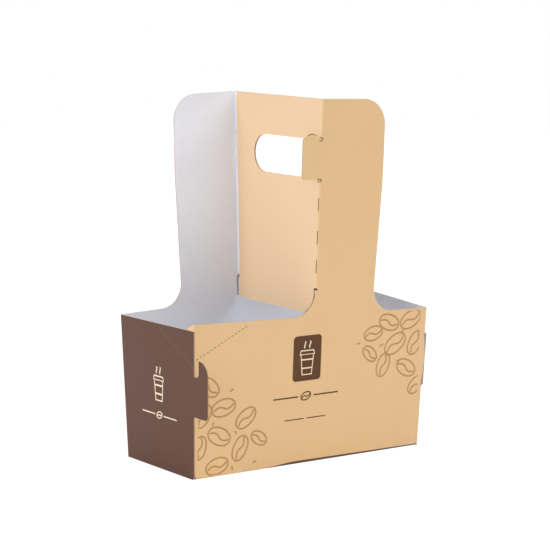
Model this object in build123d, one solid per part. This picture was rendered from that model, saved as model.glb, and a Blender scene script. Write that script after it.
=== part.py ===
from build123d import *
import math
import os

# A carrier for two drinking cups, folded from one sheet of lined paperboard.
# X runs along the front panel, Y from front to back and Z up. The origin is the middle of
# the base. The front and back panels and the ends all lean outward, so the box is widest at
# its rim, as the cups are. The front panel rises into the right half of the handle and the
# back panel into the left half. A web between the two halves, of one layer folded from each,
# carries the hand hole. The walls are one loop of panels, closed by a glue flange behind the
# free edge of the left end. A hook tab on that edge fits the slit at the right front corner
# of the next carrier.

# Sheet
sheet = 0.6
overrun = 6.0

# Box
base_length = 188.5
rim_length = 195.0
base_depth = 81.7
rim_depth = 90.0
wall_height = 99.0
corner_radius = 1.2
base_radius = 1.2

# Handle
total_height = 246.0
front_half = 53.0
front_foot_half = 48.4
back_half = 51.1
back_foot_half = 47.3
handle_waist_drop = 56.0
handle_corner_radius = 18.5
handle_top_fall = 1.5
foot_radius = 16.6
fold_radius = 1.5

# Top edge of the long panels. It rises to their left corner and falls to their right one
shoulder_rise_long = 1.5
shoulder_rise_short = 0.5
corner_rise_long = 4.2
corner_drop_short = 1.0

# Web
web_clearance = 0.9
web_rise = 1.2
web_edge_gap = 2.6

# Punched marks along the handle fold, and slits between the lowest two of them, all cut
# part-way through the sheet
punch_radius = 1.35
punch_ring = 0.5
punch_offset = 0.7
part_cut = 0.4
slit_width = 0.5
slit_length_share = 0.12
slit_middle_shares = (0.21, 0.475, 0.775)

# Hand hole, and the tab that is cut from it and stays flat in the panel
hole_cover = 27.3
hole_height = 26.0
hole_end = 26.2
hole_near_end = 41.0
tab_length = 15.0
tab_crown = 3.8
tab_crown_foot = 1.0
tab_foot_radius = 3.4

# Glue flange at the left front corner
flange_length = 18.0
flange_taper = 7.0
flange_fall = 8.0
flange_foot = 2.0

# End flaps of the bottom
flap_height = 24.0
flap_taper = 3.0
flap_gap = 3.0

# Left end panel and its hook tab
end_overhang = 0.5
end_foot_radius = 2.0
hook_low = 42.5
hook_high = 80.5
hook_reach = 16.2
hook_nose_radius = 9.5
hook_heel_radius = 3.5
hook_slot_width = 5.6
hook_slot_low = 69.3

# Slit for a hook tab at the right front corner, and the lip that its cut leaves
lip_reach = 1.0

# Gusset creases: a row of short cuts in the front panel, a scored line in the end panel
gusset_foot = 79.7
gusset_run = 41.0
gusset_rise = 19.8
gusset_end_foot = 75.5
gusset_end_run = 46.0
dash_length = 1.6
dash_pitch = 3.0
dash_width = 0.4
score_width = 0.8
score_depth = 0.15

depth_lean = (rim_depth - base_depth) / 2 / wall_height
length_lean = (rim_length - base_length) / 2 / wall_height
cut_height = wall_height + shoulder_rise_long
long_corner = wall_height + corner_rise_long
short_corner = wall_height - corner_drop_short
shoulder_turn = math.atan2(corner_rise_long - shoulder_rise_long, rim_length / 2)
fold_foot = cut_height + foot_radius / math.tan(math.pi / 4 - shoulder_turn / 2) + punch_radius / 2
handle_waist = total_height - handle_waist_drop
hole_high = total_height - hole_cover
hole_low = hole_high - hole_height
hole_middle = hole_high - hole_height / 2
web_low = cut_height + web_clearance
fold_x = -sheet
bend_x = fold_x + fold_radius
widest = max(base_length, rim_length)
deepest = max(base_depth, rim_depth)


def depth_at(z):
    """Distance from the middle to the outer face of the front or back panel."""
    return base_depth / 2 + z * depth_lean


def length_at(z):
    """Distance from the middle to the outer face of an end panel."""
    return base_length / 2 + z * length_lean


def outline(points):
    return make_face(Polyline(*points, close=True))


def rounded(face, corner, radius):
    """Round the corner of a face that lies nearest to a point."""
    vertex = face.vertices().sort_by_distance((corner[0], corner[1], 0))[0]
    return fillet(vertex, radius)


def leaning(face, low, high, x_lean, y_lean):
    """Raise a flat profile from one height to another along a leaning line."""
    rise = high - low
    direction = Vector(x_lean, y_lean, 1)
    start = Pos(low * x_lean, low * y_lean, low) * face
    return extrude(start, amount=rise * direction.length, dir=direction)


def side_prism(face, far_low, far_high):
    """Extrude an outline drawn in Y and Z along X, between two places."""
    return extrude(Plane.YZ.offset(far_low) * face, amount=far_high - far_low)


def front_prism(face, reach):
    """Extrude an outline drawn in X and Z forward from the middle."""
    return extrude(Plane.XZ * face, amount=reach)


def trapezoid(half_low, half_high, low, high, radius):
    corners = [(-half_low, low), (half_low, low), (half_high, high), (-half_high, high)]
    face = outline(corners)
    for corner in corners[:2]:
        face = rounded(face, corner, radius)
    return face


def trough(reach_at, inset, high):
    """Section of a strip folded up from the base at both sides."""
    outer = trapezoid(reach_at(0) - inset, reach_at(high) - inset, 0, high, base_radius)
    inner_low = reach_at(sheet) - inset - sheet
    inner_high = reach_at(high + overrun) - inset - sheet
    inner = trapezoid(inner_low, inner_high, sheet, high + overrun, base_radius - sheet)
    return outer - inner


def bend_profile(radius, x_side, y_side, depth):
    """Quarter of a folded corner, seen from above, with its outer corner at the origin."""
    ring = Circle(radius) - Circle(radius - depth)
    quarter = Pos(x_side * radius / 2, y_side * radius / 2) * Rectangle(radius, radius)
    return Pos(-x_side * radius, -y_side * radius) * (ring & quarter)


def tab_outline():
    """The tab, drawn from the handle fold to the left, in X and Z."""
    crown = ThreePointArc(
        (-tab_length, hole_high + tab_crown_foot),
        (-tab_length / 2, hole_high + tab_crown),
        (bend_x, hole_high),
    )
    rest = Polyline(
        (bend_x, hole_high), (bend_x, hole_low), (-tab_length, hole_low),
        (-tab_length, hole_high + tab_crown_foot),
    )
    return rounded(make_face(crown + rest), (-tab_length, hole_low), tab_foot_radius)


def panel_outline(left_inset, half, foot_half):
    """Long panel and its handle half, up to where the folds at its sides begin."""
    right_low = length_at(0) - corner_radius
    right_high = length_at(short_corner) - corner_radius
    left_high = length_at(long_corner) - corner_radius - left_inset
    foot_corner = (foot_half, wall_height + shoulder_rise_short)
    top_corner = (half, total_height - handle_top_fall)
    cut_corner = (fold_x, cut_height)
    face = outline([
        (left_inset - right_low, 0), (-left_high, long_corner), cut_corner,
        (fold_x, fold_foot), (bend_x, fold_foot), (bend_x, total_height), top_corner,
        (half, handle_waist), foot_corner, (right_high, short_corner), (right_low, 0),
    ])
    face = rounded(face, top_corner, handle_corner_radius)
    for corner in (cut_corner, foot_corner):
        face = rounded(face, corner, foot_radius)
    return face + tab_outline()


def web_outline():
    """One web layer, drawn in Y and Z, from the front fold to its free edge."""
    cut_corner = (-depth_at(web_low) + fold_radius, web_low)
    edge_low = web_low + web_rise
    face = outline([
        cut_corner, (depth_at(edge_low) - web_edge_gap, edge_low),
        (depth_at(total_height) - web_edge_gap, total_height),
        (-depth_at(total_height) + fold_radius, total_height),
    ])
    face = rounded(face, cut_corner, foot_radius - fold_radius)
    reach = depth_at(hole_middle)
    return face - Pos(-reach - fold_x, 0) * mirror(tab_outline(), about=Plane.YZ)


def handle_fold():
    """The rounded fold between a handle half and its web layer, broken at the tab."""
    profile = Pos(fold_x, -depth_at(0)) * bend_profile(fold_radius, -1, -1, sheet)
    lower = leaning(profile, fold_foot, hole_low, 0, -depth_lean)
    upper = leaning(profile, hole_high, total_height, 0, -depth_lean)
    return lower + upper


def fold_cutter(face, low, high):
    """A cutter that crosses the handle fold at 45 degrees, with its profile seen from above."""
    inset = fold_radius * (1 - math.sqrt(1 / 2))
    middle = Pos(fold_x + inset, -depth_at(0) + inset)
    return leaning(middle * (Rot(0, 0, 45) * face), low, high, 0, -depth_lean)


def punched_mark(z):
    """A round punch across the handle fold."""
    inset = fold_radius * (1 - math.sqrt(1 / 2))
    middle = Pos(fold_x + inset, -depth_at(z) + inset, z)
    return middle * Rot(0, 0, -45) * Rot(90, 0, 0) * Cylinder(punch_radius, overrun)


def punched_ring(z):
    """A round punch that leaves its middle standing."""
    mark = punched_mark(z)
    return mark - scale(mark, by=1 - punch_ring / punch_radius)


def fold_skin():
    """The outer part of the sheet round the handle fold, as deep as the part-cuts go."""
    corner = Pos(fold_x, -depth_at(0))
    front_leaf = Pos(fold_radius + overrun / 2, part_cut / 2) * Rectangle(overrun, part_cut)
    web_leaf = Pos(part_cut / 2, fold_radius + overrun / 2) * Rectangle(part_cut, overrun)
    bent = corner * (bend_profile(fold_radius, -1, -1, part_cut) + front_leaf + web_leaf)
    flat = corner * Pos(0, part_cut / 2) * Rectangle(2 * overrun, part_cut)
    lower = leaning(bent, fold_foot - overrun, hole_low, 0, -depth_lean)
    middle = leaning(flat, hole_low, hole_high, 0, -depth_lean)
    upper = leaning(bent, hole_high, total_height, 0, -depth_lean)
    return lower + middle + upper


def fold_cuts():
    """Punched marks at the ends of the fold's stretches, and the slits between two of them."""
    cutters = [punched_mark(fold_foot), punched_ring(hole_low - punch_offset)]
    cutters.append(punched_ring(hole_high + punch_offset))
    slit = Rectangle(overrun, slit_width)
    stretch = hole_low - fold_foot
    half_length = stretch * slit_length_share / 2
    for share in slit_middle_shares:
        middle = fold_foot + share * stretch
        cutters.append(fold_cutter(slit, middle - half_length, middle + half_length))
    return cutters


def half_carrier(left_inset, half, foot_half):
    """Long panel, its half of the bottom, handle half, fold and web layer, drawn at the front."""
    strip = extrude(Plane.YZ * trough(depth_at, 0, total_height), amount=widest, both=True)
    reach = max(depth_at(0), depth_at(total_height)) + overrun
    board = strip & front_prism(panel_outline(left_inset, half, foot_half), reach)
    board = board + side_prism(web_outline(), -sheet, 0) + handle_fold()
    skin = fold_skin()
    for cutter in fold_cuts():
        board = board - (skin & cutter)
    return board


def hand_hole():
    """The hole through both web layers, open as far as the front fold in the first layer."""
    radius = hole_height / 2
    length = hole_end + hole_near_end
    both = Pos(hole_end - length / 2, hole_middle) * SlotOverall(length, hole_height)
    front = -depth_at(hole_middle) + fold_radius
    first = Pos(front / 2, hole_middle) * Rectangle(-front, hole_height)
    return side_prism(both, -overrun, overrun) + side_prism(first, -sheet, 0)


def flange():
    """Left corner fold of the front panel, and the glue flange behind the end panel."""
    corner = (-length_at(0) + sheet, -depth_at(0))
    straight = flange_length - corner_radius
    leaf = Pos(sheet / 2, corner_radius + straight / 2) * Rectangle(sheet, straight)
    profile = Pos(*corner) * (bend_profile(corner_radius, -1, -1, sheet) + leaf)
    raised = leaning(profile, flange_foot, long_corner, -length_lean, -depth_lean)
    low, high = -depth_at(flange_foot), -depth_at(long_corner)
    trim = outline([
        (low - overrun, flange_foot), (low + flange_length - flange_taper, flange_foot),
        (low + flange_length, flange_foot + flange_taper),
        (high + flange_length, long_corner - flange_fall),
        (high + corner_radius, long_corner), (high - overrun, long_corner),
    ])
    return raised & side_prism(trim, -widest, 0)


def bottom_flaps():
    """The bottom's end flaps, folded up inside the end panels."""
    near = -base_depth / 2 + flange_length + flap_gap
    far = base_depth / 2 - flap_gap
    trim = outline([
        (near, -overrun), (near, base_radius), (near + flap_taper, flap_height),
        (far - flap_taper, flap_height), (far, base_radius), (far, -overrun),
    ])
    strip = extrude(Plane.XZ * trough(length_at, sheet, flap_height), amount=deepest, both=True)
    return strip & side_prism(trim, -widest, widest)


def end_slab(thickness):
    """A sheet in the plane of the left end panel, larger than the panel."""
    low, high = -overrun, long_corner + overrun
    section = outline([
        (-length_at(low), low), (thickness - length_at(low), low),
        (thickness - length_at(high), high), (-length_at(high), high),
    ])
    return extrude(Plane.XZ * section, amount=deepest, both=True)


def end_edge(z):
    """Place of the end panel's front edge, a little in front of the front panel."""
    return -depth_at(z) - end_overhang


def corner_fold(y_side, low, high):
    """The upright fold at a left corner of the box, at its front or back."""
    profile = Pos(-length_at(0), y_side * depth_at(0)) * bend_profile(corner_radius, -1, y_side, sheet)
    return leaning(profile, low, high, -length_lean, y_side * depth_lean)


def end_panel():
    """The left end panel, its fold at the back corner, and the scored gusset line."""
    foot = (end_edge(0), 0)
    shape = outline([
        foot, (depth_at(0) - corner_radius, 0),
        (depth_at(short_corner) - corner_radius, short_corner), (end_edge(wall_height), wall_height),
    ])
    shape = rounded(shape, foot, end_foot_radius)
    rise = wall_height - gusset_end_foot
    length = math.hypot(gusset_end_run, rise) + score_width
    middle = (end_edge(gusset_end_foot) + gusset_end_run / 2, gusset_end_foot + rise / 2)
    line = Pos(*middle) * Rot(0, 0, math.degrees(math.atan2(rise, gusset_end_run)))
    score = side_prism(line * Rectangle(length, score_width), -widest, 0)
    panel = end_slab(sheet) & side_prism(shape, -widest, 0)
    return (panel - (end_slab(score_depth) & score)) + corner_fold(1, 0, short_corner)


def hook_outline():
    """The hook tab in front of the end panel, with its slot open at the top."""
    heel = (end_edge(hook_low) - hook_reach, hook_low)
    nose = (end_edge(hook_high) - hook_reach, hook_high)
    face = outline([(end_edge(hook_low), hook_low), heel, nose, (end_edge(hook_high), hook_high)])
    face = rounded(face, heel, hook_heel_radius)
    face = rounded(face, nose, hook_nose_radius)
    top = hook_high + overrun
    slot_corner = (end_edge(hook_slot_low) - hook_slot_width, hook_slot_low)
    slot = outline([
        (end_edge(hook_slot_low), hook_slot_low), slot_corner,
        (end_edge(top) - hook_slot_width, top), (end_edge(top), top),
    ])
    slot = rounded(slot, slot_corner, hook_slot_width / 2)
    return face - slot


def end_with_hook():
    """The left end panel with its hook tab, which lies in the same plane."""
    return end_panel() + (end_slab(sheet) & side_prism(hook_outline(), -widest, 0))


def slit_lip():
    """The lip of the hook slit, which stays in the plane of the front panel, drawn at the left."""
    width = corner_radius + lip_reach
    middle = (width / 2 - lip_reach - length_at(0), sheet / 2 - depth_at(0))
    profile = Pos(*middle) * Rectangle(width, sheet)
    raised = leaning(profile, hook_low, hook_high, -length_lean, -depth_lean)
    low, high = -length_at(hook_low), -length_at(hook_high)
    shape = outline([
        (low + corner_radius, hook_low), (low - lip_reach, hook_low + lip_reach),
        (high - lip_reach, hook_high - lip_reach), (high + corner_radius, hook_high),
    ])
    return raised & front_prism(shape, deepest)


def closed_end():
    """The end panel that is folded to both long panels, with the hook slit, drawn at the left."""
    low = depth_at(0) - corner_radius
    front, back = depth_at(short_corner) - corner_radius, depth_at(long_corner) - corner_radius
    shape = outline([(-low, 0), (low, 0), (back, long_corner), (-front, short_corner)])
    panel = end_slab(sheet) & side_prism(shape, -widest, 0)
    front_folds = corner_fold(-1, 0, hook_low) + corner_fold(-1, hook_high, short_corner)
    return panel + front_folds + corner_fold(1, 0, long_corner) + slit_lip()


def gusset_dashes():
    """Short cuts through the front panel, from its left corner up towards the top edge."""
    length = math.hypot(gusset_run, gusset_rise)
    slope = math.degrees(math.atan2(gusset_rise, gusset_run))
    start = -length_at(gusset_foot) + sheet + corner_radius
    cutters = []
    for index in range(int(length / dash_pitch)):
        share = (index + 1 / 2) * dash_pitch / length
        middle = Pos(start + share * gusset_run, gusset_foot + share * gusset_rise)
        dash = middle * Rot(0, 0, slope) * Rectangle(dash_length, dash_width)
        cutters.append(front_prism(dash, deepest))
    return cutters


def carrier():
    """The whole folded sheet as one solid."""
    body = half_carrier(sheet, front_half, front_foot_half)
    body = body + half_carrier(0, back_half, back_foot_half).rotate(Axis.Z, 180)
    body = body - hand_hole()
    body = body + bottom_flaps()
    body = body + flange() + end_with_hook()
    body = body + mirror(closed_end(), about=Plane.YZ)
    for cutter in gusset_dashes():
        body = body - cutter
    return body


os.makedirs("parts", exist_ok=True)
export_step(carrier(), "parts/carrier.step")
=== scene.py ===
import math

import bmesh
import bpy
from mathutils import Matrix, Vector


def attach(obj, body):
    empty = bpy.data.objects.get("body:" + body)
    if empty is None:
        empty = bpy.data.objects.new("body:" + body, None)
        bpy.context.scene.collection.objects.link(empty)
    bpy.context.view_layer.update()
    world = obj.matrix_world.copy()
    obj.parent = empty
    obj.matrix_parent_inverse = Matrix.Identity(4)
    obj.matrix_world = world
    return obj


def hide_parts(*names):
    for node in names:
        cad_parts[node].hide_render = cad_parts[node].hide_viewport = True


# A cup carrier folded from one sheet of white-lined board, printed tan and dark brown.
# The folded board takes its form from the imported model. The printed line pattern, the plate
# and the pictograms are thin fields of ink on it. Sizes are in metres, and the points of the
# drawings in millimetres.

bl_info = {
    "name": "Folded Cup Carrier",
    "version": (1, 0, 0),
    "blender": (4, 5, 0),
    "location": "View3D > Sidebar > Cup Carrier",
    "description": "Builds a printed paperboard cup carrier and the studio it stands in",
    "category": "Object",
}

MM = 0.001
# Points closer than these are joined, edges shorter dissolved, and points this near a cut lie on it
WELD, SLIVER, CUT_MERGE = 0.002 * MM, 0.001 * MM, 0.0001 * MM
# Edges that turn more than this stay sharp
SHARP_ANGLE = math.radians(32)

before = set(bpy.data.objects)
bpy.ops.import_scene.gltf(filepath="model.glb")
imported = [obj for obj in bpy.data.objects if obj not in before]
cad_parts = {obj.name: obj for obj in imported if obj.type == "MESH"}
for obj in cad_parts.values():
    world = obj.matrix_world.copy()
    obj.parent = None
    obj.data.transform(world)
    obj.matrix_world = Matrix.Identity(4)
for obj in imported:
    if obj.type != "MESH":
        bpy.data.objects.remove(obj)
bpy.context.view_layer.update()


def linear(code):
    """The linear colour of an sRGB hex value."""
    channels = (int(code[place:place + 2], 16) / 255 for place in (0, 2, 4))
    return tuple(c / 12.92 if c <= 0.04045 else ((c + 0.055) / 1.055) ** 2.4 for c in channels)


def length(name, description, default):
    return bpy.props.FloatProperty(name=name, description=description, default=default * MM,
                                   unit="LENGTH", precision=5)


def colour(name, description, code):
    return bpy.props.FloatVectorProperty(name=name, description=description, default=linear(code),
                                         subtype="COLOR", size=3, min=0, max=1)


# Sizes and colours


class BoardSettings(bpy.types.PropertyGroup):
    thickness: length("Thickness", "Thickness of the sheet", 0.6)
    base_length: length("Base length", "Length of the box at its foot", 188.5)
    rim_length: length("Rim length", "Length of the box at its rim", 195)
    base_depth: length("Base depth", "Depth of the box at its foot", 81.7)
    rim_depth: length("Rim depth", "Depth of the box at its rim", 90)
    wall_height: length("Wall height", "Height of the box walls", 99)
    base_radius: length("Base radius", "Radius of the folds along the foot", 1.2)
    corner_radius: length("Corner radius", "Radius of the upright folds at the box corners", 1.2)
    slit_low: length("Slit foot", "Lower end of the hook slit at the right front corner", 42.5)
    slit_high: length("Slit top", "Upper end of the hook slit", 80.5)
    fold_radius: length("Fold radius", "Radius of the upright folds of the handle", 1.5)
    fold_place: length("Fold place", "From the middle to the outer face of the web", 0.6)
    fold_foot: length("Fold foot", "Height at which the handle folds begin", 118.24)
    hole_low: length("Hand hole foot", "Lower edge of the hand hole", 192.7)
    hole_high: length("Hand hole top", "Upper edge of the hand hole", 218.7)
    gusset_foot: length("Gusset foot", "Height at which the row of cuts in the front starts", 79.7)
    gusset_run: length("Gusset run", "Length of the row of cuts along the panel", 41)
    gusset_rise: length("Gusset rise", "How far the row of cuts rises", 19.8)
    dash_length: length("Cut length", "Length of each short cut", 1.7)
    dash_width: length("Cut width", "Width of each short cut", 0.5)
    dash_pitch: length("Cut pitch", "From one short cut to the next", 3)
    mark_width: length("Fold mark width", "Width of the dark mark under the back fold", 1.1)
    mark_length: length("Fold mark length", "Height of the dark mark under the back fold", 14)
    tan: colour("Tan", "Tan ink on the front, the back and the handle", "DFB987")
    # Paler than the tan of the same print: painted sheen on the web, which faces the key light
    web_tan_with_sheen: colour("Web tan", "The paler tan of the web between the handle halves", "E1C09A")
    brown: colour("Brown", "Dark brown ink on the ends, the hook tab and the underside", "573729")
    liner: colour("Liner", "Bare white liner on the inside", "E6E8F0")
    cut_edge: colour("Cut edge", "Core and liner where the sheet is cut through", "A98A6A")
    # Dark brown painted shade for narrow cuts and gaps in the sheet
    cut_shade: colour("Cut core", "Shaded core at the bottom of a narrow cut", "5A3316")
    # Grey of the white liner in shade, painted on the lit lip of the hook slit and on the strip under the
    # back fold
    slit_shade: colour("Slit lip", "Torn edge of core and liner at the hook slit", "9C8E88")


class PrintSettings(bpy.types.PropertyGroup):
    ink_depth: length("Ink depth", "Height of a printed field above the sheet", 0.05)
    line_width: length("Line width", "Width of the lines of the bean pattern", 1.2)
    plate_width: length("Plate width", "Width of the printed plate on the front", 23.2)
    plate_height: length("Plate height", "Height of the printed plate on the front", 31)
    plate_radius: length("Plate radius", "Corner radius of the printed plate", 2.6)
    plate_left: length("Plate place", "Middle of the plate from the middle of the front", -5.3)
    plate_middle: length("Plate height above the foot", "Middle of the plate", 72.5)
    symbol_line: length("Pictogram line", "Width of the lines of the cup pictogram", 1.3)
    line_ink: colour("Line ink", "Ink of the bean pattern, darker than the tan", "B88D5C")
    dark_ink: colour("Dark ink", "Ink of the plate and of the lines under it", "5A3920")
    cream: colour("Cream", "Unprinted cream lines on the dark fields", "F3DDC2")


class StudioSettings(bpy.types.PropertyGroup):
    azimuth: bpy.props.FloatProperty(
        name="Azimuth", description="Turn of the camera from the front of the carrier",
        default=math.radians(35.652), subtype="ANGLE")
    elevation: bpy.props.FloatProperty(
        name="Elevation", description="Height of the camera above the horizon",
        default=math.radians(8.275), subtype="ANGLE")
    roll: bpy.props.FloatProperty(
        name="Roll", description="Turn of the camera about its own axis",
        default=math.radians(0.478), subtype="ANGLE")
    distance: length("Distance", "From the camera to its target", 1437.657)
    target: bpy.props.FloatVectorProperty(
        name="Target", description="Point that the camera looks at",
        default=(-0.945 * MM, 0, 122.932 * MM), subtype="TRANSLATION", size=3)
    focal_length: bpy.props.FloatProperty(
        name="Focal length", description="In millimetres on a sensor 36 mm wide", default=137.455)
    key_strength: bpy.props.FloatProperty(
        name="Key strength", description="Strength of the soft light at the left", default=1.75)
    fill_strength: bpy.props.FloatProperty(
        name="Fill strength", description="Strength of the soft light at the front right", default=1.08)
    overhead: bpy.props.FloatProperty(
        name="Overhead", description="Strength of the even light from above", default=1.06)
    floor_width: length("Floor width", "Across the round floor", 6000)


# Materials


def add(tree, kind, settings=None, links=None):
    """Adds a node, fills in its sockets and properties, and links its inputs to given outputs."""
    made = tree.nodes.new(kind)
    for key, value in (settings or {}).items():
        if isinstance(key, str) and hasattr(made, key):
            setattr(made, key, value)
        else:
            made.inputs[key].default_value = value
    for key, output in (links or {}).items():
        tree.links.new(output, made.inputs[key])
    return made


def start_material(name):
    material = bpy.data.materials.new(name)
    material.use_nodes = True
    material.node_tree.nodes.clear()
    return material, material.node_tree


def opaque(rgb, share=1.0):
    return (*(channel * share for channel in rgb), 1.0)


def noise(tree, place, size, detail, **settings):
    """A noise over the sheet with blotches of about the given size."""
    return add(tree, "ShaderNodeTexNoise", {"Scale": 1 / size, "Detail": detail, **settings},
               {"Vector": place}).outputs["Fac"]


def blend(tree, low, high, share):
    """A mix of two colours by a share. A colour or a share is a value or another node's output."""
    settings, links = {"data_type": "RGBA"}, {}
    for socket, value in ((0, share), (6, low), (7, high)):
        (links if isinstance(value, bpy.types.NodeSocket) else settings)[socket] = value
    return add(tree, "ShaderNodeMix", settings, links).outputs[2]


def ramp(tree, value, limits, ends):
    """Carries a value from between two limits to between two ends."""
    return add(tree, "ShaderNodeMapRange",
               {"From Min": limits[0], "From Max": limits[1], "To Min": ends[0], "To Max": ends[1]},
               {"Value": value}).outputs["Result"]


def close_surface(tree, settings, surface, tooth, links=None):
    """Ends a material with its shader: its colour, its tooth and the settings of its coat."""
    shader = add(tree, "ShaderNodeBsdfPrincipled", settings,
                 {"Base Color": surface, "Normal": tooth.outputs["Normal"], **(links or {})})
    add(tree, "ShaderNodeOutputMaterial", links={"Surface": shader.outputs["BSDF"]})


# The strip of brown that shows along the foot of the long panels: the brown underside carried up the fold,
# partly as painted contact shade under the foot. It rises from nothing between the first two places and falls
# between the last two
STRIP_PLACES = (-40 * MM, -16 * MM, -5 * MM, 93 * MM)
STRIP_HIGH, STRIP_LOW = 2.0 * MM, 1.0 * MM


def add_strip(tree, place, surface, rgb):
    """Lets the brown of the underside run a little way up the fold, most near the middle, partly as painted
    contact shade.
    """
    begin, full, fall, end = STRIP_PLACES
    axes = add(tree, "ShaderNodeSeparateXYZ", links={"Vector": place}).outputs
    rising = ramp(tree, axes["X"], (begin, full), (0.0, STRIP_HIGH))
    falling = ramp(tree, axes["X"], (fall, end), (STRIP_HIGH, STRIP_LOW))
    limit = add(tree, "ShaderNodeMath", {"operation": "MINIMUM"}, {0: rising, 1: falling})
    below = add(tree, "ShaderNodeMath", {"operation": "LESS_THAN"},
                {0: axes["Z"], 1: limit.outputs[0]})
    return blend(tree, surface, opaque(rgb), below.outputs[0])


def coated_print(name, rgb, worn=0.0, varnish=0.5, under_fold=None):
    """Clay-coated board, offset printed and sealed with a thin water-based varnish.

    The varnish gives a broad soft sheen, and the fibres under it a faint mottle and tooth."""
    material, tree = start_material(name)
    place = add(tree, "ShaderNodeTexCoord").outputs["Object"]
    # Blotches of ink about 35 mm across, as a large solid on an offset press has
    blotch = noise(tree, place, 35 * MM, 3.0)
    # Fibres are 0.03 mm wide. They are drawn 0.8 mm wide, as fine as the view can show
    fibre = noise(tree, place, 0.8 * MM, 2.0, Roughness=0.6)
    tone = blend(tree, opaque(rgb, 0.975), opaque(rgb, 1.025), blotch)
    grain = ramp(tree, fibre, (0.3, 0.7), (0.0, 0.16))
    lit = tuple(min(1.0, channel + 0.05 + worn) for channel in rgb)
    surface = blend(tree, tone, opaque(lit), grain)
    if worn:
        surface = blend(tree, surface, opaque(lit), 0.5)
    if under_fold:
        surface = add_strip(tree, place, surface, under_fold)
    gloss = ramp(tree, blotch, (0.0, 1.0), (0.43, 0.53))
    tooth = add(tree, "ShaderNodeBump", {"Strength": 0.35, "Distance": 0.02 * MM}, {"Height": fibre})
    close_surface(tree, {"IOR": 1.5, "Specular IOR Level": varnish}, surface, tooth, {"Roughness": gloss})
    return material


def bare_board(name, rgb, tooth_size, tooth_depth):
    """Uncoated paper stock: matte, with soft fibre clouds and no varnish."""
    material, tree = start_material(name)
    place = add(tree, "ShaderNodeTexCoord").outputs["Object"]
    # Clouds of fibre, as paper shows when held to the light, about 9 mm across
    cloud = noise(tree, place, 9 * MM, 5.0)
    fibre = noise(tree, place, tooth_size, 2.0)
    tone = blend(tree, opaque(rgb, 0.97), opaque(rgb, 1.02), cloud)
    speck = ramp(tree, fibre, (0.35, 0.65), (0.1, 0.0))
    surface = blend(tree, tone, opaque(rgb, 0.8), speck)
    tooth = add(tree, "ShaderNodeBump", {"Strength": 0.4, "Distance": tooth_depth}, {"Height": fibre})
    close_surface(tree, {"IOR": 1.47, "Roughness": 0.85, "Specular IOR Level": 0.2}, surface, tooth)
    return material


def printed_ink(name, rgb, varnish=0.5):
    """A line or solid of offset ink over the tan print, under the same varnish."""
    material, tree = start_material(name)
    place = add(tree, "ShaderNodeTexCoord").outputs["Object"]
    # Ink lies unevenly on the fibres, in flecks about 0.9 mm across
    fleck = noise(tree, place, 0.9 * MM, 2.0)
    surface = blend(tree, opaque(rgb, 0.93), opaque(rgb, 1.07), fleck)
    tooth = add(tree, "ShaderNodeBump", {"Strength": 0.3, "Distance": 0.02 * MM}, {"Height": fleck})
    close_surface(tree, {"IOR": 1.5, "Roughness": 0.48, "Specular IOR Level": varnish}, surface, tooth)
    return material


def cut_fibre_and_shade(name, rgb):
    """Matte bare board, for the rough core where the sheet is cut and for painted shade in narrow cuts and
    gaps.
    """
    return bare_board(name, rgb, 0.3 * MM, 0.06 * MM)


# Places on the panels


def lean(board, axis):
    """How far a wall moves outward for each unit of height."""
    if axis == "X":
        return (board.rim_length - board.base_length) / 2 / board.wall_height
    return (board.rim_depth - board.base_depth) / 2 / board.wall_height


def front_place(board):
    """Turns a drawing of width, height and ink depth into its place on the front panel."""
    return Matrix((
        (1, 0, 0, 0),
        (0, -lean(board, "Y"), -1, -board.base_depth / 2),
        (0, 1, 0, 0),
        (0, 0, 0, 1),
    ))


def back_inside_place(board):
    """Turns a drawing of width, height and depth into its place on the inside of the back panel."""
    return Matrix((
        (1, 0, 0, 0),
        (0, lean(board, "Y"), -1, board.base_depth / 2 - board.thickness),
        (0, 1, 0, 0),
        (0, 0, 0, 1),
    ))


def left_end_place(board):
    """Turns a drawing of width, height and ink depth into its place on the left end panel."""
    return Matrix((
        (0, -lean(board, "X"), -1, -board.base_length / 2),
        (-1, 0, 0, 0),
        (0, 1, 0, 0),
        (0, 0, 0, 1),
    ))


# The folded board


# How far a normal points along an axis when its face looks that way, lies level or is tilted
FACING, LEVEL, TILTED = 0.8, 0.97, 0.3
# The same for a face with a slight turn, with a hint of one, and with nearly all of it
SLIGHT, HINT, STEEP = 0.1, 0.05, 0.95
# A face lies in a wall, the web or the bottom where this much of its normal points straight across
FLAT = 0.99995
# Reach of a handle fold across the panel and the web, and of its end below the fold's foot
FOLD_ZONE, FOLD_TAIL = 4 * MM, 3 * MM
# How deep the printed skin goes at a fold, and how deep the floor and the walls of a part-way cut
SKIN_DEPTH, FLOOR_DEPTH, CUT_DEPTH = 0.12 * MM, 0.45 * MM, 0.5 * MM
# Reach of the curved cut at the foot of the web, and its start above the wall
CURVE_ZONE, CURVE_RISE = 9 * MM, 1.5 * MM
# Reach of the gap over each tab, along the web and upward
CROWN_ZONE, CROWN_RISE = 17 * MM, 5 * MM
# Where the row of short cuts lies, and where the corner fold beside it begins
CUTS_LEFT, CUTS_RIGHT, CUTS_LOW, CUTS_HIGH = -96 * MM, -50 * MM, 78 * MM, 101 * MM
CUTS_CORNER = -93 * MM
# How far in from the outer face of an end a face is flush, and how far in the score is pressed
FLUSH, SCORE = 0.05 * MM, 0.3 * MM
# How far in the flange lies, how far the ends' own cuts reach, and the corner folds past the long panels
FLANGE_DEPTH, END_ZONE, CORNER_ZONE = 0.4 * MM, 12 * MM, 0.8 * MM
# How far in the lip beside the hook slit may lie
LIP_DEPTH = 0.1 * MM
# A fold's face is the web's, or an end's at the right front, where it turns that many times more to it
WEB_TURN, END_TURN = 1.4, 1.7


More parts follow.
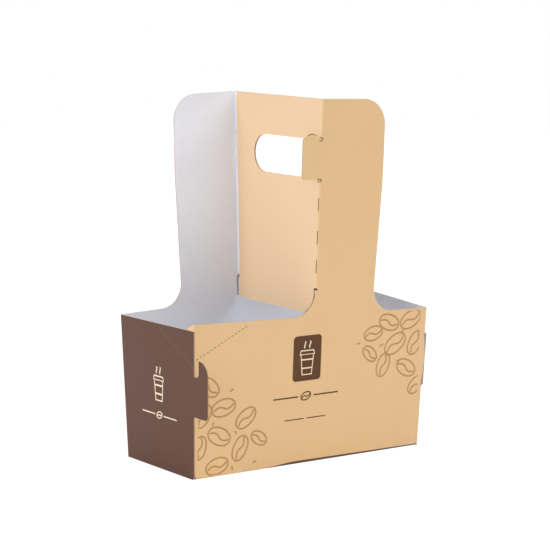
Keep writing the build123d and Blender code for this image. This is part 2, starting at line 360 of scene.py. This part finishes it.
def fold_finish(board, centre, normal, reach_y):
    """The finish of a face at a handle fold, where fine cuts run part-way through the sheet and are painted
    dark as shade.
    """
    side = math.copysign(1, centre.y)
    # Distances inward from the outer faces of the web and of the handle
    from_web = centre.x * -side + board.fold_place
    from_front = reach_y - abs(centre.y)
    turn_x, turn_y = normal.x * side, normal.y * side
    radius = board.fold_radius
    if board.hole_low < centre.z < board.hole_high or from_web > radius:
        depth = from_front
    elif from_front > radius:
        depth = from_web
    else:
        depth = radius - math.hypot(radius - from_web, radius - from_front)
    if abs(normal.z) > LEVEL and (depth > FLOOR_DEPTH or centre.z > board.hole_high + CROWN_RISE):
        return "cut edge"
    if depth < SKIN_DEPTH and (turn_x > TILTED or turn_y > TILTED):
        return "web" if turn_x > WEB_TURN * turn_y else "tan crease" if turn_x > SLIGHT else "tan"
    # Walls and floors of the part-way cuts are painted dark as shade
    if depth < CUT_DEPTH:
        return "shaded cut"
    if abs(normal.z) > TILTED or turn_x * turn_y < -SLIGHT:
        return "cut edge"
    return "liner"


def slit_finish(centre, normal, reach_y):
    """The finish of a face beside the hook slit: its narrow lip is painted the grey of the liner in shade."""
    if normal.y > FACING:
        return "liner"
    if normal.y < -FACING and reach_y + centre.y < LIP_DEPTH:
        return "slit lip"
    return "cut edge"


def foot_finish(normal, out_x, out_y):
    """The finish of a face at the fold along the foot, or nothing where it belongs to a wall."""
    if normal.z < -LEVEL:
        return "brown"
    if normal.z > TILTED:
        return "liner"
    if normal.z < -HINT and out_y > SLIGHT:
        return "tan crease"
    if normal.z < -HINT and out_x > SLIGHT:
        return "brown"
    return None


def edge_finish(board, centre, normal, across, along, reach_y):
    """The finish of a face that a cut through the sheet has left, painted dark as shade in the narrow cuts.
    """
    in_cuts = (abs(normal.z) < STEEP and centre.y < 0 and CUTS_LEFT < centre.x < CUTS_RIGHT
               and CUTS_LOW < centre.z < CUTS_HIGH)
    in_crown = (across < 2 * board.thickness and along > reach_y - CROWN_ZONE
                and 0 < centre.z - board.hole_high < CROWN_RISE)
    return "shaded cut" if in_cuts or in_crown else "cut edge"


def end_finish(board, centre, out_x, across, along, reach_x, reach_y):
    """The finish of a face that looks along X: the ends, the web and the flange."""
    sheet = board.thickness
    if across < sheet / 2 and centre.z > board.hole_high and along > reach_y - CROWN_ZONE:
        return "cut edge"
    if across < 2 * sheet:
        return "web" if across > sheet / 2 else "liner"
    if across < reach_x - END_ZONE:
        return "cut edge"
    if out_x < 0:
        return "liner"
    if centre.x < 0 and reach_x - across > FLANGE_DEPTH and centre.z > board.wall_height - CURVE_RISE:
        return "tan"
    return "brown crease" if FLUSH < reach_x - across < SCORE else "brown"


def face_finish(board, centre, normal):
    """The finish of a face of the folded sheet, from where it lies and which way it looks."""
    sheet, corner = board.thickness, board.corner_radius
    across, along = abs(centre.x), abs(centre.y)
    reach_x = board.base_length / 2 + centre.z * lean(board, "X")
    reach_y = board.base_depth / 2 + centre.z * lean(board, "Y")
    out_x, out_y = normal.x * math.copysign(1, centre.x), normal.y * math.copysign(1, centre.y)
    if across < FOLD_ZONE and along > reach_y - FOLD_ZONE and centre.z > board.fold_foot - FOLD_TAIL:
        return fold_finish(board, centre, normal, reach_y)
    # The curved cut edge at the foot of the web is painted dark as shade in the gap there
    if (board.wall_height + CURVE_RISE < centre.z < board.fold_foot and across < CURVE_ZONE
            and centre.x * centre.y > 0 and along > reach_y - 1.5 * sheet and abs(normal.y) < TILTED):
        return "shaded cut"
    if (centre.x > reach_x - corner and centre.y < -reach_y + corner
            and board.slit_low < centre.z < board.slit_high):
        return slit_finish(centre, normal, reach_y)
    if centre.z < board.base_radius:
        finish = foot_finish(normal, out_x, out_y)
        if finish:
            return finish
    elif abs(normal.z) > TILTED or (abs(normal.x) > TILTED and abs(normal.y) < TILTED
                                    and CUTS_RIGHT > centre.x > CUTS_CORNER):
        return edge_finish(board, centre, normal, across, along, reach_y)
    if abs(normal.x) > FACING:
        return end_finish(board, centre, out_x, across, along, reach_x, reach_y)
    if abs(normal.y) > FACING:
        cut_through = along < reach_y - 1.5 * sheet or along > reach_y + sheet / 2
        if cut_through or across > reach_x - CORNER_ZONE:
            return "cut edge"
        return "tan" if out_y > 0 else "liner"
    if out_x < 0 and out_y < 0:
        return "liner"
    if out_x > 0 and out_y > 0:
        # The brown print of the ends begins past the middle of the fold at the right front
        times = 1 if centre.y > 0 else END_TURN
        on_end = out_x > times * out_y and (centre.x > 0 or centre.y > 0)
        return "brown crease" if on_end else "tan crease"
    return "cut edge"


def is_flat(board, normal):
    """Whether a face lies in a wall, the web or the bottom, and not in a fold."""
    walls = [abs(normal.x), abs(normal.z)]
    for across, slope in ((normal.x, lean(board, "X")), (normal.y, lean(board, "Y"))):
        walls.append((abs(across) + abs(normal.z) * slope) / math.hypot(1, slope))
    return max(walls) > FLAT


FINISHES = ("tan", "tan crease", "web", "brown", "brown crease", "liner", "cut edge", "shaded cut", "slit lip")


def board_materials(board):
    """One material for each finish, in the order of FINISHES."""
    made = {
        "tan": coated_print("Coated board, printed tan", board.tan, under_fold=board.brown),
        "tan crease": coated_print("Coated board, tan fold", board.tan, worn=0.005, under_fold=board.brown),
        # The web's tan, made paler as painted sheen
        "web": coated_print("Coated board, tan lightened by painted sheen", board.web_tan_with_sheen),
        "brown": coated_print("Coated board, printed brown", board.brown, varnish=0.25),
        "brown crease": coated_print("Coated board, brown fold", board.brown, worn=0.004, varnish=0.25),
        "liner": bare_board("White liner, uncoated", board.liner, 0.7 * MM, 0.03 * MM),
        "cut edge": cut_fibre_and_shade("Cut edge of board", board.cut_edge),
        # Painted shade in the narrow cuts, the gap over each tab and the curve at the web's foot
        "shaded cut": cut_fibre_and_shade("Painted shade in a narrow cut", board.cut_shade),
        # The lip takes the grey of the liner in shade, painted
        "slit lip": cut_fibre_and_shade("Painted shade on the lip of the hook slit", board.slit_shade),
    }
    return [made[finish] for finish in FINISHES]


def add_piece(name, shape, materials):
    """Makes a piece of a bmesh, in place, and lets it ride with the carrier."""
    mesh = bpy.data.meshes.new(name)
    shape.to_mesh(mesh)
    shape.free()
    if not mesh.polygons:
        raise RuntimeError(f"{name} has no faces")
    for material in materials:
        mesh.materials.append(material)
    piece = bpy.data.objects.new(name, mesh)
    bpy.context.scene.collection.objects.link(piece)
    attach(piece, "root")
    return piece


def fold_normals(board, mesh):
    """Corner normals that turn evenly round the handle folds, whose facets are uneven."""
    normals = [Vector(corner.vector) for corner in mesh.corner_normals]
    radius, slope = board.fold_radius, lean(board, "Y")
    for face in mesh.polygons:
        away = face.center.z < board.fold_foot - MM or abs(face.center.x) > 2 * radius
        if away or is_flat(board, face.normal):
            continue
        side = -math.copysign(1, face.center.y)
        for corner in face.loop_indices:
            place = mesh.vertices[mesh.loops[corner].vertex_index].co
            across = place.x * side - radius + board.fold_place
            along = place.y * side - radius + board.base_depth / 2 + place.z * slope
            turn = Vector((across * side, along * side, slope * along)).normalized()
            share = turn.dot(face.normal)
            # Only the corners on the round itself turn with it, not the walls of the cuts through it
            if abs(share) > 0.5 and math.hypot(across, along) < 1.2 * radius:
                normals[corner] = turn * math.copysign(1, share)
    return normals


def part_layer_behind(board, shape):
    """Parts the layer behind the gap over each tab at the top of the hole.

    Only that gap is painted dark as shade, so the faces over and under it need finishes of their own."""
    behind = {face for face in shape.faces if abs(face.normal.x) > FACING
              and max(abs(vert.co.x) for vert in face.verts) < board.thickness / 2}
    edges = {edge for face in behind for edge in face.edges}
    verts = {vert for face in behind for vert in face.verts}
    bmesh.ops.bisect_plane(shape, geom=[*behind, *(edges | verts)], dist=CUT_MERGE,
                           plane_co=(0, 0, board.hole_high), plane_no=(0, 0, 1))


class CARRIER_OT_folded_board(bpy.types.Operator):
    """Dresses the folded sheet: printed outside, white inside and pale at its cut edges"""
    bl_idname = "carrier.folded_board"
    bl_label = "Folded board"

    def execute(self, context):
        board = context.scene.carrier_board
        shape = bmesh.new()
        shape.from_mesh(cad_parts["carrier"].data)
        bmesh.ops.remove_doubles(shape, verts=shape.verts, dist=WELD)
        bmesh.ops.dissolve_degenerate(shape, edges=shape.edges, dist=SLIVER)
        part_layer_behind(board, shape)
        for face in shape.faces:
            face.material_index = FINISHES.index(face_finish(board, face.calc_center_median(), face.normal))
            face.smooth = not is_flat(board, face.normal)
        piece = add_piece("folded_board", shape, board_materials(board))
        normals = piece.data.attributes.get("custom_normal")
        if normals:
            piece.data.attributes.remove(normals)
        piece.data.set_sharp_from_angle(angle=SHARP_ANGLE)
        piece.data.normals_split_custom_set(fold_normals(board, piece.data))
        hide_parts("carrier")
        return {"FINISHED"}


class CARRIER_OT_gusset_cuts(bpy.types.Operator):
    """Fills the row of short cuts in the front panel with dark boxes, painted shade in the cuts"""
    bl_idname = "carrier.gusset_cuts"
    bl_label = "Gusset cuts"

    def execute(self, context):
        board = context.scene.carrier_board
        run, rise = board.gusset_run, board.gusset_rise
        row = math.hypot(run, rise)
        corner = board.base_length / 2 + board.gusset_foot * lean(board, "X")
        start = board.thickness + board.corner_radius - corner
        shape = bmesh.new()
        for index in range(int(row / board.dash_pitch)):
            share = (index + 0.5) * board.dash_pitch / row
            middle = (start + share * run, board.gusset_foot + share * rise, -board.thickness / 2)
            place = Matrix.Translation(middle) @ Matrix.Rotation(math.atan2(rise, run), 4, "Z")
            size = Matrix.Diagonal((board.dash_length, board.dash_width, board.thickness / 3, 1))
            bmesh.ops.create_cube(shape, size=1, matrix=place @ size)
        bmesh.ops.transform(shape, matrix=front_place(board), verts=shape.verts)
        # Dark boxes in the cuts: painted shade
        fibre = cut_fibre_and_shade("Painted shade in the gusset cuts", board.cut_shade)
        add_piece("gusset_cuts", shape, [fibre])
        return {"FINISHED"}


# The middle of the mark across the back panel, its drop below the fold's foot and its thickness
MARK_ACROSS, MARK_DROP, MARK_DEPTH = -0.9 * MM, MM, 0.1 * MM


class CARRIER_OT_fold_mark(bpy.types.Operator):
    """Paints a dark strip down the back panel from the foot of the handle fold, as shade in the gap of the
    fold there
    """
    bl_idname = "carrier.fold_mark"
    bl_label = "Fold mark"

    def execute(self, context):
        board = context.scene.carrier_board
        middle = (MARK_ACROSS, board.fold_foot - MARK_DROP - board.mark_length / 2, 0)
        size = Matrix.Diagonal((board.mark_width, board.mark_length, MARK_DEPTH, 1))
        shape = bmesh.new()
        bmesh.ops.create_cube(shape, size=1, matrix=Matrix.Translation(middle) @ size)
        bmesh.ops.transform(shape, matrix=back_inside_place(board), verts=shape.verts)
        # A thin grey plate on the liner: painted shade of the gap in the fold
        fold_shade = cut_fibre_and_shade("Painted shade under the fold", board.slit_shade)
        add_piece("fold_mark", shape, [fold_shade])
        return {"FINISHED"}


# Printed fields


def moved(points, centre, turn=0.0):
    """The points of a drawing, turned about its middle, then moved. In millimetres."""
    cosine, sine = math.cos(turn), math.sin(turn)
    return [(centre[0] + (u * cosine - v * sine), centre[1] + (u * sine + v * cosine)) for u, v in points]


def draw_line(shape, points, width, depth, closed=False, smooth=True):
    """Adds a flat printed line through the points, which are in millimetres."""
    curve = bpy.data.curves.new("line", "CURVE")
    curve.dimensions = "3D"
    curve.bevel_depth = width / 2
    curve.bevel_resolution = 1
    curve.resolution_u = 7
    curve.use_fill_caps = True
    spline = curve.splines.new("NURBS" if smooth else "POLY")
    spline.points.add(len(points) - 1)
    for point, (u, v) in zip(spline.points, points):
        point.co = (u * MM, v * MM, 0, 1)
    spline.use_cyclic_u = closed
    if smooth:
        spline.order_u = 4
        spline.use_endpoint_u = not closed
    holder = bpy.data.objects.new("line", curve)
    mesh = bpy.data.meshes.new_from_object(holder)
    mesh.transform(Matrix.Diagonal((1, 1, 2 * depth / width, 1)))
    shape.from_mesh(mesh)
    bpy.data.objects.remove(holder)
    bpy.data.curves.remove(curve)
    bpy.data.meshes.remove(mesh)


BEAN_OUTLINE = ((1.05, 0.0), (0.82, 0.72), (0.0, 1.08), (-0.8, 0.78), (-1.08, 0.02), (-0.78, -0.76),
                (0.02, -1.06), (0.84, -0.74))
BEAN_SEAM = ((-0.86, -0.1), (-0.5, 0.3), (-0.05, 0.1), (0.15, -0.3), (0.55, -0.28), (0.86, 0.08))
# Half the breadth of a bean, as a share of its length
BEAN_BREADTH_SHARE = 0.31


def draw_bean(shape, centre, long, turn, width, depth):
    """A coffee bean in outline, with the seam along its middle."""
    for points, closed in ((BEAN_OUTLINE, True), (BEAN_SEAM, False)):
        sized = [(u * long / 2, v * long * BEAN_BREADTH_SHARE) for u, v in points]
        draw_line(shape, moved(sized, centre, math.radians(turn)), width, depth, closed)


# Each bean: middle across and up in mm, length in mm, turn in degrees
BEANS_HIGH = ((83, 91, 19, 24), (64, 90.5, 18, -18), (87.5, 74, 18, 62), (70, 75, 20, 34),
              (50.5, 84, 16, 12), (80.5, 57, 18, -28), (60, 61, 17, 70), (90, 44, 16, 40),
              (48, 70, 14, -40))
BEANS_LOW = ((-84, 61, 18, -36), (-88, 42, 17, 58), (-72, 46, 19, 12), (-54, 37, 18, 38),
             (-75, 27, 19, -24), (-90, 21, 16, 80), (-58, 17, 18, 66), (-76, 7, 18, 14),
             (-43, 22, 14, -30))
# Short marks between the beans: middle across and up, and turn
MARKS_HIGH = ((76, 83, 60), (58, 75, 20), (73, 62, -60), (93, 62, 30), (38, 78, 0))
MARKS_LOW = ((-92, 52, 20), (-80, 36, 70), (-62, 28, -50), (-66, 57, 30), (-46, 6, 10), (-64, 4, -70))
SHORT_MARK = ((-1.6, 0), (0, 0.2), (1.6, 0))
# Where the pattern is cut off: at both sides, at its top and at its foot, in mm
PATTERN_SIDE, PATTERN_TOP, PATTERN_FOOT = 91.6, 97, 1.4


def clip(shape, point, outward):
    """Cuts a drawing off along a line and closes the cut."""
    geometry = shape.verts[:] + shape.edges[:] + shape.faces[:]
    cut = bmesh.ops.bisect_plane(shape, geom=geometry, dist=CUT_MERGE, plane_co=Vector(point) * MM,
                                 plane_no=outward, clear_outer=True)
    edges = [item for item in cut["geom_cut"] if isinstance(item, bmesh.types.BMEdge)]
    bmesh.ops.holes_fill(shape, edges=edges, sides=0)


class CARRIER_OT_bean_pattern(bpy.types.Operator):
    """Prints the line pattern of coffee beans at two corners of the front panel"""
    bl_idname = "carrier.bean_pattern"
    bl_label = "Bean pattern"

    def execute(self, context):
        board, print_ = context.scene.carrier_board, context.scene.carrier_print
        ink = printed_ink("Offset ink, light brown", print_.line_ink, varnish=0.3)
        for name, beans, marks in (("bean_pattern_high", BEANS_HIGH, MARKS_HIGH),
                                   ("bean_pattern_low", BEANS_LOW, MARKS_LOW)):
            shape = bmesh.new()
            for across, up, long, turn in beans:
                draw_bean(shape, (across, up), long, turn, print_.line_width, print_.ink_depth)
            for across, up, turn in marks:
                mark = moved(SHORT_MARK, (across, up), math.radians(turn))
                draw_line(shape, mark, print_.line_width, print_.ink_depth, smooth=False)
            clip(shape, (PATTERN_SIDE, 0, 0), (1, 0, 0))
            clip(shape, (-PATTERN_SIDE, 0, 0), (-1, 0, 0))
            clip(shape, (0, PATTERN_TOP, 0), (0, 1, 0))
            clip(shape, (0, PATTERN_FOOT, 0), (0, -1, 0))
            bmesh.ops.transform(shape, matrix=front_place(board), verts=shape.verts)
            add_piece(name, shape, [ink])
        return {"FINISHED"}


LID = ((-6.1, 4.2), (6.1, 4.2), (5.2, 6.8), (-5.2, 6.8))
CUP = ((-5.2, 4.2), (5.2, 4.2), (3.9, -9.6), (-3.9, -9.6))
SLEEVE_TOP = ((-4.85, 0.6), (4.85, 0.6))
SLEEVE_FOOT = ((-4.3, -5.2), (4.3, -5.2))
STEAM = ((0, 0), (-1.5, 1.4), (1.5, 3.0), (0, 4.6))
# Where the two curls of steam start, across from the cup's middle and up, in mm
STEAM_ACROSS, STEAM_UP = 2.1, 8.6


def draw_cup(shape, centre, width, depth):
    """A lidded cup in outline, with two curls of steam over it."""
    for points, closed in ((LID, True), (CUP, True), (SLEEVE_TOP, False), (SLEEVE_FOOT, False)):
        draw_line(shape, moved(points, centre), width, depth, closed, smooth=False)
    for across in (-STEAM_ACROSS, STEAM_ACROSS):
        curl = [(across + u, STEAM_UP + v) for u, v in STEAM]
        draw_line(shape, moved(curl, centre), width, depth)


def draw_divider(shape, across, divider, depth, bean=None):
    """Two level lines with a gap between them, and in some a bean in the gap."""
    up, half, gap, width = divider
    for side in (-1, 1):
        points = ((side * gap, 0), (side * half, 0))
        draw_line(shape, moved(points, (across, up)), width * MM, depth, smooth=False)
    if bean:
        long, turn, bean_width = bean
        draw_bean(shape, (across, up), long, turn, bean_width * MM, depth)


# How far the middle of the cup lies under the middle of the plate, in mm
CUP_DROP = 1.6
# Dividers: height up the panel, half their length, half the gap in their middle and width, in mm
UPPER_DIVIDER = (46.5, 27, 6.5, 1.0)
LOWER_DIVIDER = (31, 17, 1.2, 0.75)
END_DIVIDER = (36.5, 21, 5.2, 0.9)
# Beans in the gaps: length in mm, turn in degrees and width of the lines in mm
FRONT_BEAN, END_BEAN = (8.4, 18, 0.9), (7, 18, 0.8)
# The cup on the end: middle across and up, and width of the lines, in mm
END_CUP, END_CUP_LINE = (1.5, 56), 1.25


class CARRIER_OT_front_plate(bpy.types.Operator):
    """Prints the dark plate with its cup pictogram, and the lines under it, on the front panel"""
    bl_idname = "carrier.front_plate"
    bl_label = "Front plate"

    def execute(self, context):
        board, print_ = context.scene.carrier_board, context.scene.carrier_print
        across, up = print_.plate_left / MM, print_.plate_middle / MM
        dark = printed_ink("Offset ink, dark brown", print_.dark_ink, varnish=0.25)
        cream = printed_ink("Cream lines left open in the dark ink", print_.cream)

        shape = bmesh.new()
        corners = bmesh.ops.create_grid(shape, x_segments=1, y_segments=1, size=0.5)["verts"]
        bmesh.ops.scale(shape, vec=(print_.plate_width, print_.plate_height, 1), verts=corners)
        bmesh.ops.bevel(shape, geom=corners, offset=print_.plate_radius, segments=6, profile=0.5,
                        affect="VERTICES", material=-1)
        bmesh.ops.solidify(shape, geom=shape.faces[:], thickness=print_.ink_depth)
        bmesh.ops.recalc_face_normals(shape, faces=shape.faces)
        high = max(vert.co.z for vert in shape.verts)
        place = Vector((print_.plate_left, print_.plate_middle, print_.ink_depth - high))
        bmesh.ops.translate(shape, vec=place, verts=shape.verts)
        bmesh.ops.transform(shape, matrix=front_place(board), verts=shape.verts)
        add_piece("front_plate", shape, [dark])

        shape = bmesh.new()
        draw_cup(shape, (across, up - CUP_DROP), print_.symbol_line, 2 * print_.ink_depth)
        bmesh.ops.transform(shape, matrix=front_place(board), verts=shape.verts)
        add_piece("front_pictogram", shape, [cream])

        shape = bmesh.new()
        draw_divider(shape, across, UPPER_DIVIDER, print_.ink_depth, FRONT_BEAN)
        draw_divider(shape, across, LOWER_DIVIDER, print_.ink_depth)
        bmesh.ops.transform(shape, matrix=front_place(board), verts=shape.verts)
        add_piece("front_divider", shape, [dark])
        return {"FINISHED"}


class CARRIER_OT_end_print(bpy.types.Operator):
    """Prints the cream cup pictogram and the line under it on the left end panel"""
    bl_idname = "carrier.end_print"
    bl_label = "End print"

    def execute(self, context):
        board, print_ = context.scene.carrier_board, context.scene.carrier_print
        cream = printed_ink("Cream lines left open in the brown print", print_.cream)
        shape = bmesh.new()
        draw_cup(shape, END_CUP, END_CUP_LINE * MM, print_.ink_depth)
        draw_divider(shape, END_CUP[0], END_DIVIDER, print_.ink_depth, END_BEAN)
        bmesh.ops.transform(shape, matrix=left_end_place(board), verts=shape.verts)
        add_piece("end_print", shape, [cream])
        return {"FINISHED"}


# Studio


# The floor's own white, how much of it the camera sees lifted to white, and how bright that is
FLOOR_WHITE, FLOOR_LIFT, FLOOR_GLOW = 0.86, 0.88, 1.12
# How far the floor lies under the carrier, and the number of its sides
FLOOR_DROP, FLOOR_SIDES = 0.02 * MM, 96
# Heights on the sky, 0 where it is level and 1 straight up, between which the even light sets in
SKY_FADE = (0.4, 0.6)
# Ways from the carrier towards the lights, and how wide they look
KEY_WAY, FILL_WAY = (-0.9, -0.1, 0.45), (0.5, -0.6, 0.8)
LIGHT_WIDTH = math.radians(50)
# The camera's sensor, in millimetres, and the farthest that it sees, in metres
SENSOR_WIDTH, CLIP_END = 36, 50


def set_world(studio):
    """A sky that is white where it is seen, and lights the carrier from its upper part alone."""
    world = bpy.data.worlds.new("Even white studio")
    world.use_nodes = True
    tree = world.node_tree
    tree.nodes.clear()
    path = add(tree, "ShaderNodeLightPath").outputs
    facing = add(tree, "ShaderNodeMath", {"operation": "MAXIMUM"},
                 {0: path["Is Camera Ray"], 1: path["Is Glossy Ray"]})
    seen = add(tree, "ShaderNodeMath", {"operation": "MAXIMUM"},
               {0: facing.outputs[0], 1: path["Is Transmission Ray"]})
    # The even light comes from the upper part of the sky, as from a wide diffuser overhead
    way = add(tree, "ShaderNodeSeparateXYZ",
              links={"Vector": add(tree, "ShaderNodeTexCoord").outputs["Generated"]})
    above = ramp(tree, way.outputs["Z"], SKY_FADE, (0.0, studio.overhead))
    strength = add(tree, "ShaderNodeMapRange", {"To Max": 1.0}, {"Value": seen.outputs[0], "To Min": above})
    light = add(tree, "ShaderNodeBackground", {"Color": (1, 1, 1, 1)},
                {"Strength": strength.outputs["Result"]})
    add(tree, "ShaderNodeOutputWorld", links={"Surface": light.outputs["Background"]})
    bpy.context.scene.world = world


def floor_material():
    """White seamless paper. Seen by the camera it is lifted to white, and keeps a soft shadow."""
    material, tree = start_material("White seamless paper")
    path = add(tree, "ShaderNodeLightPath").outputs
    seen = add(tree, "ShaderNodeMath", {"operation": "MULTIPLY", 1: FLOOR_LIFT}, {0: path["Is Camera Ray"]})
    paper = add(tree, "ShaderNodeBsdfDiffuse", {"Color": opaque((FLOOR_WHITE,) * 3)})
    white = add(tree, "ShaderNodeEmission", {"Color": (1, 1, 1, 1), "Strength": FLOOR_GLOW})
    both = add(tree, "ShaderNodeMixShader",
               links={0: seen.outputs[0], 1: paper.outputs[0], 2: white.outputs[0]})
    add(tree, "ShaderNodeOutputMaterial", links={"Surface": both.outputs[0]})
    return material


def aim_camera(studio):
    """Sets the camera up at its distance from the target, turned about its own axis by the roll."""
    turn, rise, roll = studio.azimuth, studio.elevation, studio.roll
    ahead = Vector((math.sin(turn) * math.cos(rise), math.cos(turn) * math.cos(rise), -math.sin(rise)))
    level = Vector((math.cos(turn), -math.sin(turn), 0))
    upright = level.cross(ahead)
    right = level * math.cos(roll) + upright * math.sin(roll)
    up = upright * math.cos(roll) - level * math.sin(roll)
    place = Vector(studio.target) - ahead * studio.distance
    camera = bpy.data.objects.new("Camera", bpy.data.cameras.new("Camera"))
    camera.data.sensor_width = SENSOR_WIDTH
    camera.data.lens = studio.focal_length
    camera.data.clip_end = CLIP_END
    camera.matrix_world = Matrix((
        (right.x, up.x, -ahead.x, place.x),
        (right.y, up.y, -ahead.y, place.y),
        (right.z, up.z, -ahead.z, place.z),
        (0, 0, 0, 1),
    ))
    bpy.context.scene.collection.objects.link(camera)
    bpy.context.scene.camera = camera


class CARRIER_OT_studio(bpy.types.Operator):
    """Sets up the white floor, the soft lights and the camera"""
    bl_idname = "carrier.studio"
    bl_label = "Studio"

    def execute(self, context):
        studio = context.scene.carrier_studio
        shape = bmesh.new()
        bmesh.ops.create_circle(shape, cap_ends=True, segments=FLOOR_SIDES, radius=studio.floor_width / 2)
        mesh = bpy.data.meshes.new("studio_floor")
        shape.to_mesh(mesh)
        shape.free()
        mesh.materials.append(floor_material())
        floor = bpy.data.objects.new("studio_floor", mesh)
        context.scene.collection.objects.link(floor)
        floor.location.z = -FLOOR_DROP

        set_world(studio)
        for name, strength, towards in (("Key", studio.key_strength, KEY_WAY),
                                        ("Fill", studio.fill_strength, FILL_WAY)):
            lamp = bpy.data.lights.new(name, "SUN")
            lamp.energy = strength
            lamp.angle = LIGHT_WIDTH
            light = bpy.data.objects.new(name, lamp)
            light.rotation_euler = Vector(towards).to_track_quat("Z", "Y").to_euler()
            context.scene.collection.objects.link(light)

        aim_camera(studio)
        context.scene.view_settings.view_transform = "Standard"
        return {"FINISHED"}


class CARRIER_PT_panel(bpy.types.Panel):
    bl_label = "Cup Carrier"
    bl_idname = "CARRIER_PT_panel"
    bl_space_type = "VIEW_3D"
    bl_region_type = "UI"
    bl_category = "Cup Carrier"

    def draw(self, context):
        layout = self.layout
        for group in (context.scene.carrier_board, context.scene.carrier_print, context.scene.carrier_studio):
            box = layout.box()
            for name in group.__annotations__:
                box.prop(group, name)
        for operator in OPERATORS:
            layout.operator(operator.bl_idname)


OPERATORS = (CARRIER_OT_folded_board, CARRIER_OT_gusset_cuts, CARRIER_OT_fold_mark, CARRIER_OT_bean_pattern,
             CARRIER_OT_front_plate, CARRIER_OT_end_print, CARRIER_OT_studio)
CLASSES = (BoardSettings, PrintSettings, StudioSettings, *OPERATORS, CARRIER_PT_panel)


def register():
    for kind in CLASSES:
        bpy.utils.register_class(kind)
    bpy.types.Scene.carrier_board = bpy.props.PointerProperty(type=BoardSettings)
    bpy.types.Scene.carrier_print = bpy.props.PointerProperty(type=PrintSettings)
    bpy.types.Scene.carrier_studio = bpy.props.PointerProperty(type=StudioSettings)


def unregister():
    del bpy.types.Scene.carrier_studio
    del bpy.types.Scene.carrier_print
    del bpy.types.Scene.carrier_board
    for kind in reversed(CLASSES):
        bpy.utils.unregister_class(kind)


def main():
    register()
    bpy.ops.carrier.folded_board()
    bpy.ops.carrier.gusset_cuts()
    bpy.ops.carrier.fold_mark()
    bpy.ops.carrier.bean_pattern()
    bpy.ops.carrier.front_plate()
    bpy.ops.carrier.end_print()
    bpy.ops.carrier.studio()


if __name__ == "__main__":
    main()
